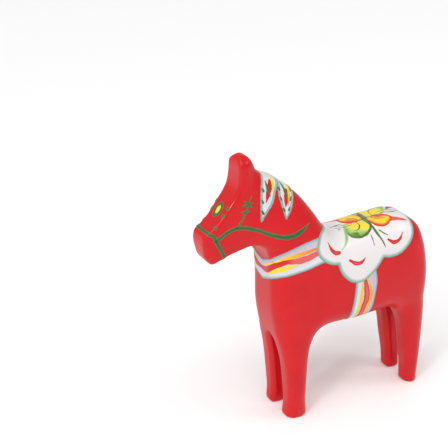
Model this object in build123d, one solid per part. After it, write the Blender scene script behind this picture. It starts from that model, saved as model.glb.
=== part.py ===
from build123d import *
import os

# A painted wooden toy horse. Millimetres, +Z up, nose towards -Y, the horse's left flank towards +X.
# The wood is one carved piece. Every layer of paint is a thin shell cut from the same shape, a little bigger.

# Thickness of the paint
RED_COAT = 0.3
GROUND_COAT = 0.15
STROKE_COAT = 0.15

# The stations below are measured from a line just ahead of the middle. This brings the middle of the length to y = 0.
CENTRING = Pos(0, -1.0, 0)

# Stations of the trunk: y, underside, top, half width, corner radius
TRUNK = (
    (-18.5, 40.0, 63.0, 8.4, 4.0),
    (-17.6, 36.0, 66.5, 10.8, 5.0),
    (-14.5, 33.5, 69.0, 12.6, 6.0),
    (-4.0, 34.6, 69.0, 13.6, 7.0),
    (9.5, 35.2, 66.6, 14.0, 8.0),
    (22.5, 35.2, 67.2, 14.0, 8.0),
    (31.5, 34.0, 67.8, 13.7, 8.0),
    (37.5, 33.0, 66.0, 13.1, 7.5),
    (41.5, 35.0, 61.0, 11.9, 6.5),
    (43.8, 38.5, 53.0, 9.4, 4.5),
)

# Stations of the neck: z, front y, back y, half width, corner radius
NECK = (
    (54.0, -18.4, 14.0, 12.6, 5.0),
    (61.0, -18.9, 11.0, 11.8, 5.0),
    (68.0, -19.8, 5.2, 9.8, 4.6),
    (74.0, -23.0, 0.4, 8.2, 4.2),
    (80.0, -27.5, -4.4, 7.2, 3.8),
    (86.0, -29.2, -9.6, 6.0, 3.2),
    (90.0, -29.6, -14.6, 5.2, 2.6),
    (92.4, -29.4, -20.6, 4.4, 2.0),
)

# Stations of the head from the poll to the muzzle: face point (y, z), jaw point (y, z), half width, corner radius
HEAD = (
    ((-29.7, 90.9), (-16.5, 75.0), 5.4, 1.5),
    ((-31.4, 86.7), (-20.4, 69.2), 6.0, 1.5),
    ((-35.1, 81.7), (-27.4, 68.2), 5.7, 1.5),
    ((-38.8, 77.3), (-33.6, 66.6), 5.1, 1.7),
    ((-41.4, 75.6), (-37.6, 65.8), 4.4, 1.8),
    ((-42.4, 73.6), (-40.4, 67.6), 3.4, 1.8),
)

# Stations of the pair of ears, left joined as one block: z, front y, back y, half width, corner radius
EARS = (
    (86.0, -31.4, -17.0, 5.3, 1.8),
    (93.0, -30.6, -21.6, 4.9, 1.6),
    (100.0, -30.2, -24.6, 4.2, 1.6),
)
EAR_ROUNDING = 1.3

# Stations of a left leg: z, front y, back y, inner x, outer x, corner radius
FORE_LEG = (
    (0.0, -11.2, -4.3, 2.4, 9.3, 2.4),
    (14.0, -12.0, -4.6, 2.6, 10.9, 3.2),
    (28.0, -14.2, -3.6, 2.2, 12.4, 4.0),
    (42.0, -17.2, 6.0, 0.6, 13.0, 5.0),
)
HIND_LEG = (
    (0.0, 38.8, 44.5, 2.4, 9.3, 2.4),
    (14.0, 37.4, 44.4, 2.6, 10.9, 3.0),
    (28.0, 34.5, 44.3, 2.2, 12.4, 4.0),
    (42.0, 27.0, 43.6, 0.6, 12.8, 5.0),
)
SOLE_ROUNDING = 1.2

# Saddle cloth seen from the side: round scallops (centre, radius), and the span that crosses the back
SADDLE_SCALLOPS = (((2.2, 64.9), 5.0), ((12.8, 59.2), 7.6), ((27.4, 64.8), 7.0), ((31.0, 66.4), 5.6))
SADDLE_TOP_SPAN = (3.4, 35.6)
SADDLE_TOP_LOW = 60.5
SADDLE_TOP_HEIGHT = 15.0
SADDLE_BORDER = 1.1

# Three red crescents on each flank: start, lowest point, end
CRESCENTS = (
    ((1.0, 67.0), (2.4, 63.4), (5.6, 62.4)),
    ((8.6, 59.6), (11.8, 57.2), (15.0, 59.4)),
    ((25.0, 63.2), (28.4, 61.2), (31.5, 64.2)),
)
CRESCENT_DEPTH = 1.4

# Flower across the back, seen from above: (x, y)
FLOWER_HEART = (0.0, 21.9)
GREEN_PETAL = (
    (-0.4, 20.4), (-0.6, 16.6), (0.3, 13.7), (2.6, 12.2), (5.4, 11.4),
    (7.4, 12.8), (7.8, 15.6), (6.8, 19.0), (3.6, 20.8),
)
ORANGE_PETAL = (
    (0.4, 23.0), (-0.6, 25.0), (-0.2, 28.0), (1.8, 30.4), (4.8, 30.2),
    (6.7, 27.4), (6.4, 24.2), (4.0, 22.8),
)
FLOWER_LEAVES = (
    ((1.4, 21.8), (11.4, 23.4)),
    ((8.4, 19.3), (10.8, 19.3)),
    ((7.6, 23.6), (9.7, 25.9)),
    ((-0.1, 7.8), (-0.9, 13.2)),
    ((-1.8, 31.6), (-2.6, 36.4)),
)
LEAF_DEPTH = 0.9
FLOWER_STEM = ((6.0, 10.0), (7.6, 9.4), (9.1, 8.2), (10.1, 6.2))
STEM_WIDTH = 0.9

# Breast band seen from the side
BREAST_TOP = ((-22.0, 61.0), (-17.0, 65.2), (-9.0, 68.0), (0.0, 69.6))
BREAST_LOW = ((0.0, 60.2), (-9.0, 58.7), (-17.0, 56.6), (-22.0, 54.0))
BREAST_WAVE = ((-21.5, 58.4), (-18.4, 59.2), (-14.4, 63.2), (-10.4, 62.8), (-4.2, 64.6))
BREAST_STROKES = (((-19.6, 57.6), (-13.4, 60.6)), ((-12.0, 61.2), (-5.0, 62.4)), ((-11.6, 64.6), (-5.6, 66.4)))
BAND_EDGE = 1.1
WAVE_WIDTH = 1.2
YELLOW_DEPTH = 1.4

# Girth band, straight down from the saddle and under the belly
GIRTH_SPAN = (10.4, 19.2)
GIRTH_HEIGHTS = (30.0, 56.0)
GIRTH_RED_WIDTH = 1.7
GIRTH_YELLOW_WIDTH = 0.9

# Two plumes of mane, laid over the crest: front edge down to the tip, and rear edge
PLUMES = (
    (((-20.6, 94.0), (-22.4, 86.0), (-22.6, 78.4)), ((-15.2, 92.4), (-17.0, 85.0), (-22.6, 78.4))),
    (((-15.0, 92.0), (-16.2, 84.0), (-14.0, 77.4)), ((-9.6, 90.0), (-10.6, 83.4), (-14.0, 77.4))),
)
PLUME_EDGE = 0.9
MANE_YELLOW = (((-19.6, 93.4), (-19.8, 87.4)), ((-13.2, 90.6), (-13.2, 84.6)))
MANE_GREEN = (
    ((-21.2, 88.0), (-21.6, 82.4)),
    ((-18.6, 86.0), (-20.2, 81.4)),
    ((-15.0, 85.4), (-14.4, 80.4)),
    ((-11.6, 86.0), (-12.6, 81.0)),
)
MANE_STROKE_DEPTH = 0.9

# Bridle seen from the side
NOSEBAND = ((-43.6, 81.0), (-39.6, 76.4), (-37.9, 73.6), (-35.9, 69.4), (-34.6, 64.0))
CHEEK_STRAP = ((-38.2, 74.3), (-34.9, 75.6), (-31.7, 77.1), (-29.6, 77.6))
CHEEK_LINE = ((-29.9, 78.0), (-28.4, 81.5), (-25.7, 87.2))
REIN = ((-29.6, 77.6), (-27.2, 76.9), (-23.2, 75.3), (-18.5, 73.2), (-13.8, 71.9), (-10.0, 72.2), (-6.4, 74.6))
STRAP_WIDTH = 1.1
CHEEK_LINE_WIDTH = 0.6
CHEEK_LEAVES = (
    ((-27.4, 84.2), (-30.2, 85.8)),
    ((-26.8, 84.4), (-24.4, 82.4)),
    ((-28.6, 81.4), (-31.2, 82.8)),
    ((-28.0, 81.6), (-25.6, 79.8)),
)

# Marks on the flat of the face, measured down it from below the ears
FACE_TOP = (-30.1, 88.8)
FACE_FOOT = (-40.3, 75.6)
ROSETTE_DOWN = 7.9
ROSETTE_RADII = (2.1, 2.8)
ROSETTE_CENTRE_RADII = (0.9, 1.5)
DOTS_X = 4.2
DOTS_DOWN = (6.0, 9.0, 13.4)
DOT_RADII = (0.5, 0.8)


def upright(z, front, back, inner, outer, radius, grow):
    """One level section of a leg, the neck or the ears, grown all round."""
    centre = Location(((inner + outer) / 2, (front + back) / 2, z))
    return centre * RectangleRounded(outer - inner + 2 * grow, back - front + 2 * grow, radius + grow)


def trunk(grow):
    last = len(TRUNK) - 1
    sections = []
    for number, (y, low, high, half_width, radius) in enumerate(TRUNK):
        y += {0: -grow, last: grow}.get(number, 0)
        plane = Plane(origin=(0, y, (low + high) / 2), x_dir=(1, 0, 0), z_dir=(0, -1, 0))
        sections.append(plane * RectangleRounded(2 * (half_width + grow), high - low + 2 * grow, radius + grow))
    return loft(sections)


def neck(grow):
    last = len(NECK) - 1
    sections = []
    for number, (z, front, back, half_width, radius) in enumerate(NECK):
        z += grow if number == last else 0
        sections.append(upright(z, front, back, -half_width, half_width, radius, grow))
    return loft(sections)


def head(grow):
    last = len(HEAD) - 1
    sections = []
    for number, (face, jaw, half_width, radius) in enumerate(HEAD):
        face = Vector(0, *face)
        jaw = Vector(0, *jaw)
        across = (face - jaw).normalized()
        forward = Vector(1, 0, 0).cross(across)
        middle = (face + jaw) / 2 + forward * (grow if number == last else 0)
        plane = Plane(origin=middle, x_dir=(1, 0, 0), z_dir=forward)
        height = (face - jaw).length
        sections.append(plane * RectangleRounded(2 * (half_width + grow), height + 2 * grow, radius + grow))
    return loft(sections)


def ears(grow):
    last = len(EARS) - 1
    sections = []
    for number, (z, front, back, half_width, radius) in enumerate(EARS):
        z += grow if number == last else 0
        sections.append(upright(z, front, back, -half_width, half_width, radius, grow))
    block = loft(sections)
    return fillet(block.faces().sort_by(Axis.Z)[-1].edges(), EAR_ROUNDING)


def leg(stations, grow):
    shaft = loft([upright(*station, grow) for station in stations])
    return fillet(shaft.faces().sort_by(Axis.Z)[0].edges(), SOLE_ROUNDING)


def body(grow):
    """The whole horse as one solid, every face moved out by `grow`. The soles stay on the floor."""
    left_legs = leg(FORE_LEG, grow) + leg(HIND_LEG, grow)
    right_legs = mirror(left_legs, about=Plane.YZ)
    return trunk(grow) + neck(grow) + head(grow) + ears(grow) + left_legs + right_legs


# Flat outlines


def side(outline):
    """A flat outline in (y, z) pushed right through the horse from flank to flank."""
    return extrude(Plane.YZ * outline, 20, both=True)


def above(outline):
    """A flat outline in (x, y) pushed down on to the back."""
    return extrude(Plane.XY.offset(58) * outline, 20)


def both_flanks(solid):
    return solid + mirror(solid, about=Plane.YZ)


def blade(start, end, depth):
    """A pointed brush stroke from start to end, fattest in the middle."""
    start = Vector(*start)
    end = Vector(*end)
    middle = (start + end) / 2
    aside = (end - start).rotate(Axis.Z, 90).normalized() * (depth / 2)
    edges = Curve() + ThreePointArc(start, middle + aside, end) + ThreePointArc(end, middle - aside, start)
    return make_face(edges)


def crescent(start, middle, end, depth):
    """A curved brush stroke, pointed at both ends."""
    middle = Vector(*middle)
    inward = ((Vector(*start) + Vector(*end)) / 2 - middle).normalized() * depth
    edges = Curve() + ThreePointArc(start, middle, end) + ThreePointArc(end, middle + inward, start)
    return make_face(edges)


def ribbon(points, width):
    """A line of even width along a smooth curve."""
    return trace(Spline(*points), width)


def saddle_outline(wider=0.0):
    scallops = [Pos(*centre) * Circle(radius + wider) for centre, radius in SADDLE_SCALLOPS]
    front, rear = SADDLE_TOP_SPAN
    middle = ((front + rear) / 2, SADDLE_TOP_LOW + SADDLE_TOP_HEIGHT / 2)
    top = Pos(*middle) * Rectangle(rear - front + 2 * wider, SADDLE_TOP_HEIGHT)
    return Sketch() + scallops + top


def breast_outline():
    edges = Curve() + Spline(*BREAST_TOP) + Line(BREAST_TOP[-1], BREAST_LOW[0])
    edges = edges + Spline(*BREAST_LOW) + Line(BREAST_LOW[-1], BREAST_TOP[0])
    return make_face(edges)


def girth_stripe(width):
    """A stripe of the given width along the middle of the girth band."""
    front, rear = GIRTH_SPAN
    low, high = GIRTH_HEIGHTS
    return Pos((front + rear) / 2, (low + high) / 2) * Rectangle(width, high - low)


def plume_outline(front_edge, rear_edge):
    edges = Curve() + Spline(*front_edge) + Spline(*rear_edge) + Line(front_edge[0], rear_edge[0])
    return make_face(edges)


def petal(outline):
    """A petal, and the same turned half round about the heart of the flower."""
    one = above(make_face(Spline(*outline, periodic=True)))
    return one + Pos(0, 2 * FLOWER_HEART[1], 0) * Rot(0, 0, 180) * one


def all_sides(outlines):
    """One solid of several side-view outlines pushed through the horse."""
    return Part() + [side(outline) for outline in outlines]


# Painted pieces. Each takes the thin shell it is cut from and gives its nodes.


def saddle(ground, stroke):
    white = side(saddle_outline())
    edge = side(saddle_outline(SADDLE_BORDER)) - white
    return {
        "saddle_white_ground": ground & white,
        "saddle_mint_border": ground & edge,
        "saddle_red_crescents": stroke & all_sides(crescent(*points, CRESCENT_DEPTH) for points in CRESCENTS),
    }


def flower(stroke):
    """Four petals round a heart on the spine, green facing orange, with leaf strokes between."""
    green = petal(GREEN_PETAL)
    orange = petal(ORANGE_PETAL)
    leaves = Part() + [above(blade(*ends, LEAF_DEPTH)) for ends in FLOWER_LEAVES]
    stem = above(ribbon(FLOWER_STEM, STEM_WIDTH))
    turned = Pos(0, 2 * FLOWER_HEART[1], 0) * Rot(0, 0, 180)
    return {
        "flower_yellow_green_petals": (stroke & green) - orange,
        "flower_orange_petals": stroke & orange,
        "flower_leaf_strokes": (stroke & (leaves + turned * leaves)) - green - orange,
        "flower_green_stems": stroke & (stem + turned * stem),
    }


def breast_band(ground, stroke, saddle_block):
    band = side(breast_outline()) - saddle_block
    edges = all_sides([ribbon(BREAST_TOP, BAND_EDGE), ribbon(BREAST_LOW, BAND_EDGE)]) - saddle_block
    wave = side(ribbon(BREAST_WAVE, WAVE_WIDTH))
    strokes = all_sides(blade(*ends, YELLOW_DEPTH) for ends in BREAST_STROKES)
    return {
        "breast_band_ground": (ground & band) - edges,
        "breast_band_edges": ground & edges,
        "breast_band_red_wave": stroke & wave,
        "breast_band_yellow_strokes": (stroke & strokes) - wave,
    }


def girth_band(ground, stroke, saddle_block):
    front, rear = GIRTH_SPAN
    outer = side(girth_stripe(rear - front)) - saddle_block
    inner = side(girth_stripe(rear - front - 2 * BAND_EDGE)) - saddle_block
    red = side(girth_stripe(GIRTH_RED_WIDTH)) - saddle_block
    yellow = side(girth_stripe(GIRTH_RED_WIDTH + 2 * GIRTH_YELLOW_WIDTH)) - saddle_block
    return {
        "girth_band_ground": ground & inner,
        "girth_band_edges": ground & (outer - inner),
        "girth_band_red_stripe": stroke & red,
        "girth_band_yellow_stripes": stroke & (yellow - red),
    }


def mane(ground, stroke):
    plumes = all_sides(plume_outline(*edges) for edges in PLUMES)
    rims = all_sides(ribbon(edge, PLUME_EDGE) for plume in PLUMES for edge in plume)
    yellow = all_sides(blade(*ends, MANE_STROKE_DEPTH) for ends in MANE_YELLOW)
    green = all_sides(blade(*ends, MANE_STROKE_DEPTH) for ends in MANE_GREEN)
    return {
        "mane_lilac_plumes": (ground & plumes) - rims,
        "mane_mint_edges": ground & rims,
        "mane_yellow_strokes": stroke & yellow,
        "mane_green_strokes": (stroke & green) - yellow,
    }


def bridle(ground):
    nose = side(ribbon(NOSEBAND, STRAP_WIDTH))
    rein = side(ribbon(REIN, STRAP_WIDTH))
    strap = all_sides([ribbon(CHEEK_STRAP, STRAP_WIDTH), ribbon(CHEEK_LINE, CHEEK_LINE_WIDTH)]) - nose - rein
    leaves = all_sides(blade(*ends, MANE_STROKE_DEPTH) for ends in CHEEK_LEAVES) - strap
    return {
        "noseband": ground & nose,
        "cheek_straps": ground & strap,
        "reins": ground & rein,
        "cheek_leaf_marks": ground & leaves,
    }


def face_marks(ground):
    """One rosette and two rows of dots, drawn on the flat of the face and pushed into it."""
    top = Vector(0, *FACE_TOP)
    foot = Vector(0, *FACE_FOOT)
    across = Vector(1, 0, 0)
    face = Plane(origin=top, x_dir=across, z_dir=across.cross(top - foot))

    def on_face(outline):
        return extrude(face * outline, 3, both=True)

    rosette = on_face(Pos(0, -ROSETTE_DOWN) * Ellipse(*ROSETTE_RADII))
    centre = on_face(Pos(0, -ROSETTE_DOWN) * Ellipse(*ROSETTE_CENTRE_RADII))
    dots = on_face(Sketch() + [Pos(DOTS_X, -down) * Ellipse(*DOT_RADII) for down in DOTS_DOWN])
    return {
        "forehead_rosette_ring": ground & (rosette - centre),
        "forehead_rosette_centre": ground & centre,
        "forehead_dots": ground & both_flanks(dots),
    }


def save(nodes):
    os.makedirs("parts", exist_ok=True)
    for name, solid in nodes.items():
        export_step(CENTRING * solid, f"parts/{name}.step")


bare = body(-RED_COAT)
coated = body(0)
ground_body = body(GROUND_COAT)
stroke_body = body(GROUND_COAT + STROKE_COAT)
ground_shell = ground_body - coated
stroke_shell = stroke_body - ground_body
saddle_block = side(saddle_outline(SADDLE_BORDER))

save({"pine_core": bare, "red_base_coat": coated - bare})
save(saddle(ground_shell, stroke_shell))
save(flower(stroke_shell))
save(breast_band(ground_shell, stroke_shell, saddle_block))
save(girth_band(ground_shell, stroke_shell, saddle_block))
save(mane(ground_shell, stroke_shell))
save(bridle(ground_shell))
save(face_marks(ground_shell))
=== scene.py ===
import bpy
import numpy as np
from mathutils import Matrix, Vector


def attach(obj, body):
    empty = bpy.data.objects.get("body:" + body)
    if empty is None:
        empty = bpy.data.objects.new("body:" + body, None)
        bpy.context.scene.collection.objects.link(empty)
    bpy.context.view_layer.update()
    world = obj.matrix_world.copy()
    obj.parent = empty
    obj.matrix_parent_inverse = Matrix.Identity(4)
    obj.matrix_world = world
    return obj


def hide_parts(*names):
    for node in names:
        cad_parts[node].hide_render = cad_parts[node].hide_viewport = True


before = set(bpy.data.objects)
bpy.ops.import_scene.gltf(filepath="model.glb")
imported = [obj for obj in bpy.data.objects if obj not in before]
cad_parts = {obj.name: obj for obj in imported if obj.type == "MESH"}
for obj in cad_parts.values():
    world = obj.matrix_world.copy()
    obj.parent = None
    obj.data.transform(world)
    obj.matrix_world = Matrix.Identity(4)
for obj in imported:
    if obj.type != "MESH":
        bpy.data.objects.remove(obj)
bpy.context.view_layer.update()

# A painted wooden horse. It is worked out in millimetres, nose towards -Y, left flank towards +X, soles on
# z = 0, as a distance field: knife-cut planes and a sawn side outline, with rounded edges between them. Every
# layer of paint is a thin closed film cut from the same skin.
MM = 0.001
# From the horse's own coordinates to the shared frame
CENTRING = np.array((0.0, -1.0, 0.0))

# The horse's shape

# Side outline (y, z), round from the top of the ears over the back, rump, legs, belly, chest and face.
# The legs run on below the floor here, and are cut off level at z = 0 later.
OUTLINE = (
    (-26.9, 100.0), (-25.1, 99.2), (-23.9, 97.2), (-22.4, 94.4), (-19.9, 92.6), (-16.2, 90.8), (-11.7, 87.7),
    (-6.7, 82.9), (-2.2, 77.2), (2.1, 71.2), (5.1, 68.0), (8.3, 66.7), (14.3, 66.7), (21.3, 67.2),
    (27.3, 67.6), (32.2, 67.9), (36.4, 67.2), (40.2, 64.2), (42.4, 58.8), (43.6, 52.0), (44.2, 45.0),
    (44.4, 37.0), (44.2, 28.0), (44.1, 16.0), (44.2, 4.0), (44.2, -4.0), (39.2, -4.0), (38.8, 2.0),
    (38.5, 7.0), (37.4, 14.0), (36.1, 22.0), (34.3, 28.5), (31.8, 33.0), (28.3, 34.9), (22.3, 35.0),
    (14.3, 34.8), (7.3, 34.8), (2.2, 34.5), (-1.2, 32.8), (-3.4, 29.0), (-4.3, 24.0), (-4.6, 17.0),
    (-4.5, 8.0), (-4.2, -4.0), (-11.2, -4.0), (-11.4, 6.0), (-12.1, 15.0), (-13.2, 23.0), (-14.8, 30.0),
    (-16.5, 37.0), (-17.6, 44.0), (-18.0, 52.0), (-18.4, 58.0), (-19.0, 63.5), (-20.5, 67.2), (-23.2, 69.2),
    (-27.7, 68.6), (-33.2, 67.1), (-37.0, 65.7), (-39.4, 65.4), (-41.1, 67.2), (-42.0, 70.4), (-42.3, 73.4),
    (-41.8, 75.8), (-39.4, 77.5), (-36.8, 79.9), (-33.9, 83.6), (-31.4, 86.8), (-29.9, 89.8), (-29.3, 94.0),
    (-29.2, 97.5), (-28.5, 99.5),
)
# The flat of the face, seen from the side, and the crease down the middle of the ears
FACE_TOP = np.array((-30.1, 88.8))
FACE_FOOT = np.array((-40.3, 75.6))
EAR_RIDGE = -26.4

# The slot sawn between the left and right legs: half its width, how long its rounded top is, and the height
# of that top at the chest, which rises towards the tail
LEG_GAP = 2.6
GAP_ARCH = 9.0
ARCH_TOP = 32.0
ARCH_RISE = 4.0
ARCH_START = -13.0
ARCH_RUN = 50.0
GAP_ROUNDING = 2.0
SOLE_EDGE = 1.2

# How round the long edges are, from the soles up to the ears
EDGE_HEIGHTS = (0, 15, 30, 45, 60, 68, 75, 82, 90, 100)
EDGE_RADII = (3.3, 3.6, 4.6, 7.5, 8.5, 7.0, 5.0, 3.8, 2.4, 1.5)
SHARPEST = 0.9
ROUNDEST = 9.0

# Flat grid on which the side outline's distance is kept
TABLE_STEP = 0.25
TABLE_LOW = np.array((-48.0, -6.0))
TABLE_HIGH = np.array((49.0, 104.0))
OUTLINE_STEPS = 6

# Solid grid from which the skin's mesh is made
GRID = 0.55
NET_LOW = np.array((-16.0, -47.0, -3.0))
NET_HIGH = np.array((16.0, 47.5, 103.0))


def smooth_loop(points, steps=8):
    """A closed curve through the points, rounder where they are far apart."""
    points = np.array(points, float)
    before, after, beyond = np.roll(points, 1, 0), np.roll(points, -1, 0), np.roll(points, -2, 0)
    return spline_spans(before, points, after, beyond, steps)


def smooth_line(points, steps=8):
    """An open curve through the points."""
    points = np.array(points, float)
    padded = np.vstack([2 * points[0] - points[1], points, 2 * points[-1] - points[-2]])
    line = spline_spans(padded[:-3], padded[1:-2], padded[2:-1], padded[3:], steps)
    return np.vstack([line, points[-1]])


def spline_spans(before, start, end, after, steps):
    """Centripetal Catmull-Rom spans, sampled evenly."""
    def gap(a, b):
        return np.sqrt(np.linalg.norm(b - a, axis=1)) + 1e-9

    t1 = gap(before, start)
    t2 = t1 + gap(start, end)
    t3 = t2 + gap(end, after)
    out = []
    for share in np.arange(steps) / steps:
        t = (t1 + (t2 - t1) * share)[:, None]
        u1, u2, u3 = t1[:, None], t2[:, None], t3[:, None]
        a1 = (u1 - t) / u1 * before + t / u1 * start
        a2 = (u2 - t) / (u2 - u1) * start + (t - u1) / (u2 - u1) * end
        a3 = (u3 - t) / (u3 - u2) * end + (t - u2) / (u3 - u2) * after
        b1 = (u2 - t) / u2 * a1 + t / u2 * a2
        b2 = (u3 - t) / (u3 - u1) * a2 + (t - u1) / (u3 - u1) * a3
        out.append((u2 - t) / (u2 - u1) * b1 + (t - u1) / (u2 - u1) * b2)
    return np.stack(out, 1).reshape(-1, start.shape[1])


def loop_distance(points, loop):
    """Signed distance of flat points from a closed loop, negative inside."""
    nearest = np.full(len(points), 1e9)
    sign = np.ones(len(points))
    for a, b in zip(loop, np.roll(loop, -1, 0)):
        edge, to = b - a, points - a
        share = np.clip(to @ edge / (edge @ edge + 1e-12), 0, 1)
        nearest = np.minimum(nearest, ((to - share[:, None] * edge) ** 2).sum(1))
        above_a, below_b = points[:, 1] >= a[1], points[:, 1] < b[1]
        left = edge[0] * to[:, 1] > edge[1] * to[:, 0]
        crosses = (above_a & below_b & left) | (~above_a & ~below_b & ~left)
        sign = np.where(crosses, -sign, sign)
    return sign * np.sqrt(nearest)


def outline_table():
    """The side outline's distance, worked out once on a flat grid."""
    ys = np.arange(TABLE_LOW[0], TABLE_HIGH[0], TABLE_STEP)
    zs = np.arange(TABLE_LOW[1], TABLE_HIGH[1], TABLE_STEP)
    grid = np.stack(np.meshgrid(ys, zs, indexing="ij"), -1).reshape(-1, 2)
    return loop_distance(grid, smooth_loop(OUTLINE, OUTLINE_STEPS)).reshape(len(ys), len(zs))


SIDE = outline_table()


def side_distance(y, z):
    """The outline's distance at any point, from the table."""
    u = np.clip((y - TABLE_LOW[0]) / TABLE_STEP, 0, SIDE.shape[0] - 1.001)
    v = np.clip((z - TABLE_LOW[1]) / TABLE_STEP, 0, SIDE.shape[1] - 1.001)
    i, j = u.astype(int), v.astype(int)
    fu, fv = u - i, v - j
    low = SIDE[i, j] * (1 - fv) + SIDE[i, j + 1] * fv
    high = SIDE[i + 1, j] * (1 - fv) + SIDE[i + 1, j + 1] * fv
    return low * (1 - fu) + high * fu


def soft_min(a, b, radius):
    """The smaller of two values, blended where they are close."""
    overlap = np.maximum(radius - np.abs(a - b), 0)
    return np.minimum(a, b) - overlap**2 / (4 * radius)


def soft_max(a, b, radius):
    """The larger of two values, blended where they are close."""
    return -soft_min(-a, -b, radius)


DOWN_FACE = (FACE_FOOT - FACE_TOP) / np.linalg.norm(FACE_FOOT - FACE_TOP)


def face_depth(y, z):
    """How far a point lies behind the flat of the face."""
    return -(y - FACE_TOP[0]) * DOWN_FACE[1] + (z - FACE_TOP[1]) * DOWN_FACE[0]


def face_reach(y, z):
    """How far down the face a point lies, from just below the ears."""
    return (y - FACE_TOP[0]) * DOWN_FACE[0] + (z - FACE_TOP[1]) * DOWN_FACE[1]


def half_width(y, z):
    """Half the horse's width: the narrowest of the planes that the knife left on each side.

    Each cut is given by its half width at one place, and by how that changes away from there.
    """
    flank = 14.1 - 0.004 * np.clip(z - 52, -16, 30) ** 2 - 0.0018 * (y - 15) ** 2
    leg = 9.4 + 0.105 * z
    neck = 11.7 - 0.245 * (z - 61)
    ear_tip = 0.3 * np.maximum(0, z - 96.8) ** 2
    ear = 4.7 - 0.07 * (z - 93) - 0.5 * np.maximum(0, y - EAR_RIDGE) - ear_tip
    jowl = 6.5 + 0.1 * (y + 30) - 0.13 * (z - 78)
    cheek = 5.6 - 0.06 * face_reach(y, z) + 0.17 * face_depth(y, z)
    jaw = 4.9 + 0.26 * np.maximum(0, z - 67) + np.maximum(0, 66 - z) + 0.5 * np.maximum(0, y + 26)
    trunk = soft_min(flank, leg, 2.0)
    upper = soft_max(soft_min(neck, jowl, 0.8), ear, 0.6)
    head = soft_min(soft_min(cheek, jaw, 1.0), upper, 0.4)
    head = np.where(z > 90, soft_min(upper, cheek + 0.6 * (z - 90), 0.7), head)
    return soft_min(trunk, head, 4.0)


def edge_radius(y, z):
    """How round the long edges are carved, from the sawn outline to the flanks."""
    radius = np.interp(z, EDGE_HEIGHTS, EDGE_RADII)
    radius = np.minimum(radius, SHARPEST + 0.35 * np.maximum(face_depth(y, z), 0))
    jaw = np.where(z > 63, 2.0 + 0.5 * np.maximum(0, y + 22), ROUNDEST)
    chest = 5.5 + 0.3 * np.maximum(0, y + 14)
    rump = 6.0 + 0.3 * np.maximum(0, 40 - y)
    return np.clip(np.minimum.reduce([radius, jaw, chest, rump]), SHARPEST, ROUNDEST)


def rounded_max(a, b, radius):
    """Where both hold, with the edge between them rounded to a radius."""
    over = np.sqrt(np.maximum(a + radius, 0) ** 2 + np.maximum(b + radius, 0) ** 2)
    return np.minimum(np.maximum(a, b), -radius) + over


def horse_distance(points):
    """Signed distance from the horse's skin, negative inside."""
    x, y, z = np.abs(points[:, 0]), points[:, 1], points[:, 2]
    width = half_width(y, z)
    radius = np.minimum(edge_radius(y, z), 0.95 * width)
    solid = rounded_max(side_distance(y, z), x - width, radius)
    arch_top = ARCH_TOP + ARCH_RISE * np.clip((y - ARCH_START) / ARCH_RUN, 0, 1)
    rise = np.clip((z - arch_top + GAP_ARCH) / GAP_ARCH, 0, None)
    gap = LEG_GAP * np.sqrt(np.clip(1 - rise**2, 0, 1)) - np.maximum(z - arch_top, 0)
    solid = rounded_max(solid, gap - x, GAP_ROUNDING)
    return rounded_max(solid, -z, SOLE_EDGE)


def outward(points, step=0.15):
    """Unit normals of the skin."""
    parts = []
    for axis in range(3):
        shift = np.zeros(3)
        shift[axis] = step
        parts.append(horse_distance(points + shift) - horse_distance(points - shift))
    slope = np.stack(parts, 1)
    return slope / (np.linalg.norm(slope, axis=1)[:, None] + 1e-9)


def on_skin(points, rounds=3, share=0.9):
    """Points moved on to the skin, a good share of the way in each round."""
    for _ in range(rounds):
        points = points - share * horse_distance(points)[:, None] * outward(points)
    return points


def surface_nets(step):
    """A quad mesh of the skin: one point in each grid cell that the skin passes through."""
    axes = [np.arange(low, high, step) for low, high in zip(NET_LOW, NET_HIGH)]
    field = np.empty([len(axis) for axis in axes])
    flat = np.stack(np.meshgrid(axes[1], axes[2], indexing="ij"), -1).reshape(-1, 2)
    for number, x in enumerate(axes[0]):
        points = np.column_stack([np.full(len(flat), x), flat])
        field[number] = horse_distance(points).reshape(field.shape[1:])
    inside = field < 0
    size = np.array(field.shape)
    corners = [(i, j, k) for i in (0, 1) for j in (0, 1) for k in (0, 1)]
    shifted = [tuple(slice(c, n - 1 + c) for c, n in zip(corner, size)) for corner in corners]
    count = sum(inside[window].astype(int) for window in shifted)
    active = (count > 0) & (count < len(corners))
    where = np.argwhere(active)
    index = -np.ones(active.shape, int)
    index[active] = np.arange(len(where))
    total = np.zeros((len(where), 3))
    hits = np.zeros(len(where))
    for corner in corners:
        for axis in range(3):
            if corner[axis]:
                continue
            other = list(corner)
            other[axis] = 1
            a = field[tuple((where + corner).T)]
            b = field[tuple((where + other).T)]
            cut = (a < 0) != (b < 0)
            place = np.tile(np.array(corner, float), (len(where), 1))
            place[:, axis] += np.where(cut, a / (a - b + 1e-20), 0)
            total += np.where(cut[:, None], place, 0)
            hits += cut
    points = NET_LOW + (where + total / hits[:, None]) * step
    return on_skin(points, 2), net_quads(inside, index)


def net_quads(inside, index):
    """One quad for each grid edge that the skin crosses, joining the points of the four cells round it."""
    size = inside.shape
    quads = []
    for axis in range(3):
        first, second = [(1, 2), (2, 0), (0, 1)][axis]
        span = [slice(1, n - 1) for n in size]
        span[axis] = slice(0, size[axis] - 1)
        here = inside[tuple(span)]
        span[axis] = slice(1, size[axis])
        there = inside[tuple(span)]
        for leaving, crossing in ((True, here & ~there), (False, ~here & there)):
            base = np.argwhere(crossing)
            for other in range(3):
                base[:, other] += other != axis

            def cell(back_first, back_second):
                at = base.copy()
                at[:, first] -= back_first
                at[:, second] -= back_second
                return index[tuple(at.T)]

            ring = np.stack([cell(1, 1), cell(0, 1), cell(0, 0), cell(1, 0)], 1)
            quads.append(ring if leaving else ring[:, ::-1])
    return np.vstack(quads)


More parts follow.
